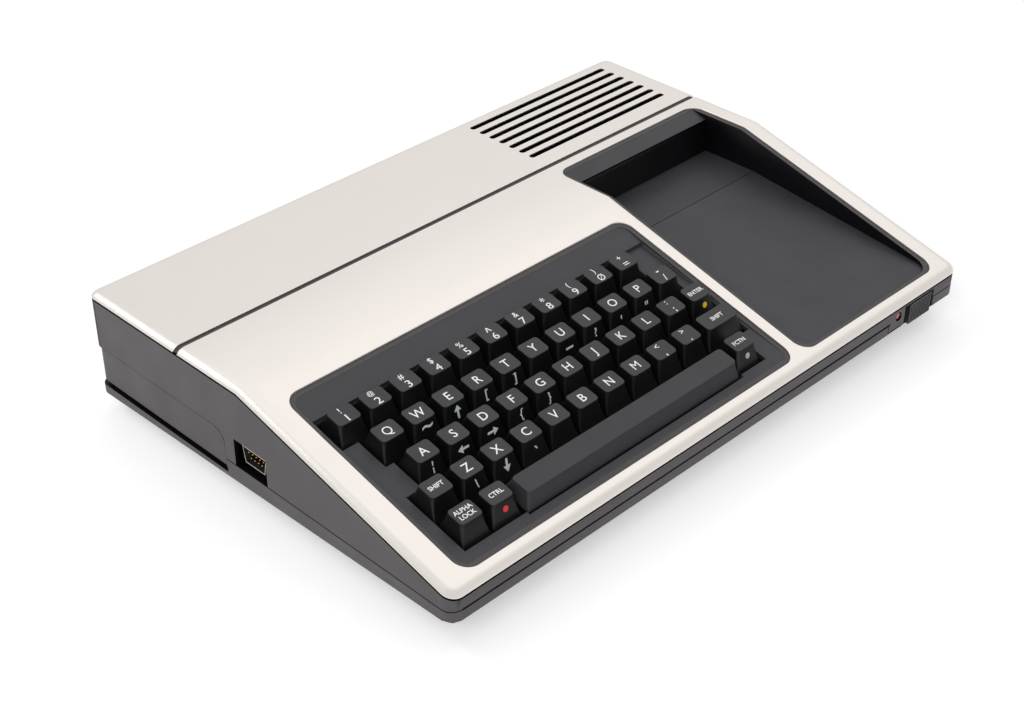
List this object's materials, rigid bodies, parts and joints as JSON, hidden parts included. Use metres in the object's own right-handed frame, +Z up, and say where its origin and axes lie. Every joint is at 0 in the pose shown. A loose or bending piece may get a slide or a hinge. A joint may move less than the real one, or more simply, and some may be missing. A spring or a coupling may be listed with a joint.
{
  "type": "home computer",
  "caption": "Low wedge-shaped home computer with a built-in keyboard, a cartridge tray with a sprung slot door, and metal top covers.",
  "frame": {"origin": "middle of the footprint, on the table", "axes": "+X to the right along the long side, +Y to the rear, +Z up; the keys face -Y"},
  "size_m": [0.384, 0.265, 0.071],
  "materials": {
    "case_plastic": "fine-grained matte, near black",
    "cover_metal": "satin",
    "key_plastic": "smooth satin",
    "inner_plastic": "matte",
    "board": "solder resist, with a plain tinned can over the chips",
    "socket_black": "matte, with plated shells",
    "screw_steel": "zinc plated",
    "foot_rubber": "matte"
  },
  "bodies": {
    "case": {"bottom_case": "case_plastic", "top_case": "case_plastic", "front_cover": "cover_metal", "rear_cover": "cover_metal", "feet": "foot_rubber", "case_screws": "screw_steel", "keyboard_frame": "inner_plastic", "circuit_boards": "board", "sockets": "socket_black"},
    "cartridge_door": {"cartridge_door": "case_plastic"},
    "port_door": {"port_door": "case_plastic"},
    "power_knob": {"power_knob": "key_plastic"},
    "key_1": {"key_1": "key_plastic"},
    "key_2": {"key_2": "key_plastic"},
    "key_3": {"key_3": "key_plastic"},
    "key_4": {"key_4": "key_plastic"},
    "key_5": {"key_5": "key_plastic"},
    "key_6": {"key_6": "key_plastic"},
    "key_7": {"key_7": "key_plastic"},
    "key_8": {"key_8": "key_plastic"},
    "key_9": {"key_9": "key_plastic"},
    "key_0": {"key_0": "key_plastic"},
    "key_equals": {"key_equals": "key_plastic"},
    "key_q": {"key_q": "key_plastic"},
    "key_w": {"key_w": "key_plastic"},
    "key_e": {"key_e": "key_plastic"},
    "key_r": {"key_r": "key_plastic"},
    "key_t": {"key_t": "key_plastic"},
    "key_y": {"key_y": "key_plastic"},
    "key_u": {"key_u": "key_plastic"},
    "key_i": {"key_i": "key_plastic"},
    "key_o": {"key_o": "key_plastic"},
    "key_p": {"key_p": "key_plastic"},
    "key_slash": {"key_slash": "key_plastic"},
    "key_a": {"key_a": "key_plastic"},
    "key_s": {"key_s": "key_plastic"},
    "key_d": {"key_d": "key_plastic"},
    "key_f": {"key_f": "key_plastic"},
    "key_g": {"key_g": "key_plastic"},
    "key_h": {"key_h": "key_plastic"},
    "key_j": {"key_j": "key_plastic"},
    "key_k": {"key_k": "key_plastic"},
    "key_l": {"key_l": "key_plastic"},
    "key_semicolon": {"key_semicolon": "key_plastic"},
    "key_enter": {"key_enter": "key_plastic"},
    "key_left_shift": {"key_left_shift": "key_plastic"},
    "key_z": {"key_z": "key_plastic"},
    "key_x": {"key_x": "key_plastic"},
    "key_c": {"key_c": "key_plastic"},
    "key_v": {"key_v": "key_plastic"},
    "key_b": {"key_b": "key_plastic"},
    "key_n": {"key_n": "key_plastic"},
    "key_m": {"key_m": "key_plastic"},
    "key_comma": {"key_comma": "key_plastic"},
    "key_period": {"key_period": "key_plastic"},
    "key_right_shift": {"key_right_shift": "key_plastic"},
    "key_alpha_lock": {"key_alpha_lock": "key_plastic"},
    "key_ctrl": {"key_ctrl": "key_plastic"},
    "key_space": {"key_space": "key_plastic"},
    "key_fctn": {"key_fctn": "key_plastic"}
  },
  "joints": [
    {"name": "key_1_press", "type": "slide", "parent": "case", "child": "key_1", "axis": [0, 0.2207, -0.9753], "range_m": [0, 0.0035], "stiffness_N_per_m": 130, "springref_m": -0.0015},
    {"name": "key_2_press", "type": "slide", "parent": "case", "child": "key_2", "axis": [0, 0.2207, -0.9753], "range_m": [0, 0.0035], "stiffness_N_per_m": 130, "springref_m": -0.0015},
    {"name": "key_3_press", "type": "slide", "parent": "case", "child": "key_3", "axis": [0, 0.2207, -0.9753], "range_m": [0, 0.0035], "stiffness_N_per_m": 130, "springref_m": -0.0015},
    {"name": "key_4_press", "type": "slide", "parent": "case", "child": "key_4", "axis": [0, 0.2207, -0.9753], "range_m": [0, 0.0035], "stiffness_N_per_m": 130, "springref_m": -0.0015},
    {"name": "key_5_press", "type": "slide", "parent": "case", "child": "key_5", "axis": [0, 0.2207, -0.9753], "range_m": [0, 0.0035], "stiffness_N_per_m": 130, "springref_m": -0.0015},
    {"name": "key_6_press", "type": "slide", "parent": "case", "child": "key_6", "axis": [0, 0.2207, -0.9753], "range_m": [0, 0.0035], "stiffness_N_per_m": 130, "springref_m": -0.0015},
    {"name": "key_7_press", "type": "slide", "parent": "case", "child": "key_7", "axis": [0, 0.2207, -0.9753], "range_m": [0, 0.0035], "stiffness_N_per_m": 130, "springref_m": -0.0015},
    {"name": "key_8_press", "type": "slide", "parent": "case", "child": "key_8", "axis": [0, 0.2207, -0.9753], "range_m": [0, 0.0035], "stiffness_N_per_m": 130, "springref_m": -0.0015},
    {"name": "key_9_press", "type": "slide", "parent": "case", "child": "key_9", "axis": [0, 0.2207, -0.9753], "range_m": [0, 0.0035], "stiffness_N_per_m": 130, "springref_m": -0.0015},
    {"name": "key_0_press", "type": "slide", "parent": "case", "child": "key_0", "axis": [0, 0.2207, -0.9753], "range_m": [0, 0.0035], "stiffness_N_per_m": 130, "springref_m": -0.0015},
    {"name": "key_equals_press", "type": "slide", "parent": "case", "child": "key_equals", "axis": [0, 0.2207, -0.9753], "range_m": [0, 0.0035], "stiffness_N_per_m": 130, "springref_m": -0.0015},
    {"name": "key_q_press", "type": "slide", "parent": "case", "child": "key_q", "axis": [0, 0.2207, -0.9753], "range_m": [0, 0.0035], "stiffness_N_per_m": 130, "springref_m": -0.0015},
    {"name": "key_w_press", "type": "slide", "parent": "case", "child": "key_w", "axis": [0, 0.2207, -0.9753], "range_m": [0, 0.0035], "stiffness_N_per_m": 130, "springref_m": -0.0015},
    {"name": "key_e_press", "type": "slide", "parent": "case", "child": "key_e", "axis": [0, 0.2207, -0.9753], "range_m": [0, 0.0035], "stiffness_N_per_m": 130, "springref_m": -0.0015},
    {"name": "key_r_press", "type": "slide", "parent": "case", "child": "key_r", "axis": [0, 0.2207, -0.9753], "range_m": [0, 0.0035], "stiffness_N_per_m": 130, "springref_m": -0.0015},
    {"name": "key_t_press", "type": "slide", "parent": "case", "child": "key_t", "axis": [0, 0.2207, -0.9753], "range_m": [0, 0.0035], "stiffness_N_per_m": 130, "springref_m": -0.0015},
    {"name": "key_y_press", "type": "slide", "parent": "case", "child": "key_y", "axis": [0, 0.2207, -0.9753], "range_m": [0, 0.0035], "stiffness_N_per_m": 130, "springref_m": -0.0015},
    {"name": "key_u_press", "type": "slide", "parent": "case", "child": "key_u", "axis": [0, 0.2207, -0.9753], "range_m": [0, 0.0035], "stiffness_N_per_m": 130, "springref_m": -0.0015},
    {"name": "key_i_press", "type": "slide", "parent": "case", "child": "key_i", "axis": [0, 0.2207, -0.9753], "range_m": [0, 0.0035], "stiffness_N_per_m": 130, "springref_m": -0.0015},
    {"name": "key_o_press", "type": "slide", "parent": "case", "child": "key_o", "axis": [0, 0.2207, -0.9753], "range_m": [0, 0.0035], "stiffness_N_per_m": 130, "springref_m": -0.0015},
    {"name": "key_p_press", "type": "slide", "parent": "case", "child": "key_p", "axis": [0, 0.2207, -0.9753], "range_m": [0, 0.0035], "stiffness_N_per_m": 130, "springref_m": -0.0015},
    {"name": "key_slash_press", "type": "slide", "parent": "case", "child": "key_slash", "axis": [0, 0.2207, -0.9753], "range_m": [0, 0.0035], "stiffness_N_per_m": 130, "springref_m": -0.0015},
    {"name": "key_a_press", "type": "slide", "parent": "case", "child": "key_a", "axis": [0, 0.2207, -0.9753], "range_m": [0, 0.0035], "stiffness_N_per_m": 130, "springref_m": -0.0015},
    {"name": "key_s_press", "type": "slide", "parent": "case", "child": "key_s", "axis": [0, 0.2207, -0.9753], "range_m": [0, 0.0035], "stiffness_N_per_m": 130, "springref_m": -0.0015},
    {"name": "key_d_press", "type": "slide", "parent": "case", "child": "key_d", "axis": [0, 0.2207, -0.9753], "range_m": [0, 0.0035], "stiffness_N_per_m": 130, "springref_m": -0.0015},
    {"name": "key_f_press", "type": "slide", "parent": "case", "child": "key_f", "axis": [0, 0.2207, -0.9753], "range_m": [0, 0.0035], "stiffness_N_per_m": 130, "springref_m": -0.0015},
    {"name": "key_g_press", "type": "slide", "parent": "case", "child": "key_g", "axis": [0, 0.2207, -0.9753], "range_m": [0, 0.0035], "stiffness_N_per_m": 130, "springref_m": -0.0015},
    {"name": "key_h_press", "type": "slide", "parent": "case", "child": "key_h", "axis": [0, 0.2207, -0.9753], "range_m": [0, 0.0035], "stiffness_N_per_m": 130, "springref_m": -0.0015},
    {"name": "key_j_press", "type": "slide", "parent": "case", "child": "key_j", "axis": [0, 0.2207, -0.9753], "range_m": [0, 0.0035], "stiffness_N_per_m": 130, "springref_m": -0.0015},
    {"name": "key_k_press", "type": "slide", "parent": "case", "child": "key_k", "axis": [0, 0.2207, -0.9753], "range_m": [0, 0.0035], "stiffness_N_per_m": 130, "springref_m": -0.0015},
    {"name": "key_l_press", "type": "slide", "parent": "case", "child": "key_l", "axis": [0, 0.2207, -0.9753], "range_m": [0, 0.0035], "stiffness_N_per_m": 130, "springref_m": -0.0015},
    {"name": "key_semicolon_press", "type": "slide", "parent": "case", "child": "key_semicolon", "axis": [0, 0.2207, -0.9753], "range_m": [0, 0.0035], "stiffness_N_per_m": 130, "springref_m": -0.0015},
    {"name": "key_enter_press", "type": "slide", "parent": "case", "child": "key_enter", "axis": [0, 0.2207, -0.9753], "range_m": [0, 0.0035], "stiffness_N_per_m": 130, "springref_m": -0.0015},
    {"name": "key_left_shift_press", "type": "slide", "parent": "case", "child": "key_left_shift", "axis": [0, 0.2207, -0.9753], "range_m": [0, 0.0035], "stiffness_N_per_m": 130, "springref_m": -0.0015},
    {"name": "key_z_press", "type": "slide", "parent": "case", "child": "key_z", "axis": [0, 0.2207, -0.9753], "range_m": [0, 0.0035], "stiffness_N_per_m": 130, "springref_m": -0.0015},
    {"name": "key_x_press", "type": "slide", "parent": "case", "child": "key_x", "axis": [0, 0.2207, -0.9753], "range_m": [0, 0.0035], "stiffness_N_per_m": 130, "springref_m": -0.0015},
    {"name": "key_c_press", "type": "slide", "parent": "case", "child": "key_c", "axis": [0, 0.2207, -0.9753], "range_m": [0, 0.0035], "stiffness_N_per_m": 130, "springref_m": -0.0015},
    {"name": "key_v_press", "type": "slide", "parent": "case", "child": "key_v", "axis": [0, 0.2207, -0.9753], "range_m": [0, 0.0035], "stiffness_N_per_m": 130, "springref_m": -0.0015},
    {"name": "key_b_press", "type": "slide", "parent": "case", "child": "key_b", "axis": [0, 0.2207, -0.9753], "range_m": [0, 0.0035], "stiffness_N_per_m": 130, "springref_m": -0.0015},
    {"name": "key_n_press", "type": "slide", "parent": "case", "child": "key_n", "axis": [0, 0.2207, -0.9753], "range_m": [0, 0.0035], "stiffness_N_per_m": 130, "springref_m": -0.0015},
    {"name": "key_m_press", "type": "slide", "parent": "case", "child": "key_m", "axis": [0, 0.2207, -0.9753], "range_m": [0, 0.0035], "stiffness_N_per_m": 130, "springref_m": -0.0015},
    {"name": "key_comma_press", "type": "slide", "parent": "case", "child": "key_comma", "axis": [0, 0.2207, -0.9753], "range_m": [0, 0.0035], "stiffness_N_per_m": 130, "springref_m": -0.0015},
    {"name": "key_period_press", "type": "slide", "parent": "case", "child": "key_period", "axis": [0, 0.2207, -0.9753], "range_m": [0, 0.0035], "stiffness_N_per_m": 130, "springref_m": -0.0015},
    {"name": "key_right_shift_press", "type": "slide", "parent": "case", "child": "key_right_shift", "axis": [0, 0.2207, -0.9753], "range_m": [0, 0.0035], "stiffness_N_per_m": 130, "springref_m": -0.0015},
    {"name": "key_alpha_lock_press", "type": "slide", "parent": "case", "child": "key_alpha_lock", "axis": [0, 0.2207, -0.9753], "range_m": [0, 0.0035]},
    {"name": "key_ctrl_press", "type": "slide", "parent": "case", "child": "key_ctrl", "axis": [0, 0.2207, -0.9753], "range_m": [0, 0.0035], "stiffness_N_per_m": 130, "springref_m": -0.0015},
    {"name": "key_space_press", "type": "slide", "parent": "case", "child": "key_space", "axis": [0, 0.2207, -0.9753], "range_m": [0, 0.0035], "stiffness_N_per_m": 160, "springref_m": -0.0025},
    {"name": "key_fctn_press", "type": "slide", "parent": "case", "child": "key_fctn", "axis": [0, 0.2207, -0.9753], "range_m": [0, 0.0035], "stiffness_N_per_m": 130, "springref_m": -0.0015},
    {"name": "cartridge_door_hinge", "type": "hinge", "parent": "case", "child": "cartridge_door", "pos_m": [0.12105, 0.0406, 0.0636], "axis": [1, 0, 0], "range_deg": [0, 75], "stiffness_Nm_per_rad": 0.0006, "springref_deg": -34.38},
    {"name": "port_door_hinge", "type": "hinge", "parent": "case", "child": "port_door", "pos_m": [0.19045, 0.0585, 0.0329], "axis": [0, 1, 0], "range_deg": [0, 80], "stiffness_Nm_per_rad": 0.0003, "springref_deg": -34.38},
    {"name": "power_knob_slide", "type": "slide", "parent": "case", "child": "power_knob", "axis": [-1, 0, 0], "range_m": [0, 0.0045]}
  ]
}
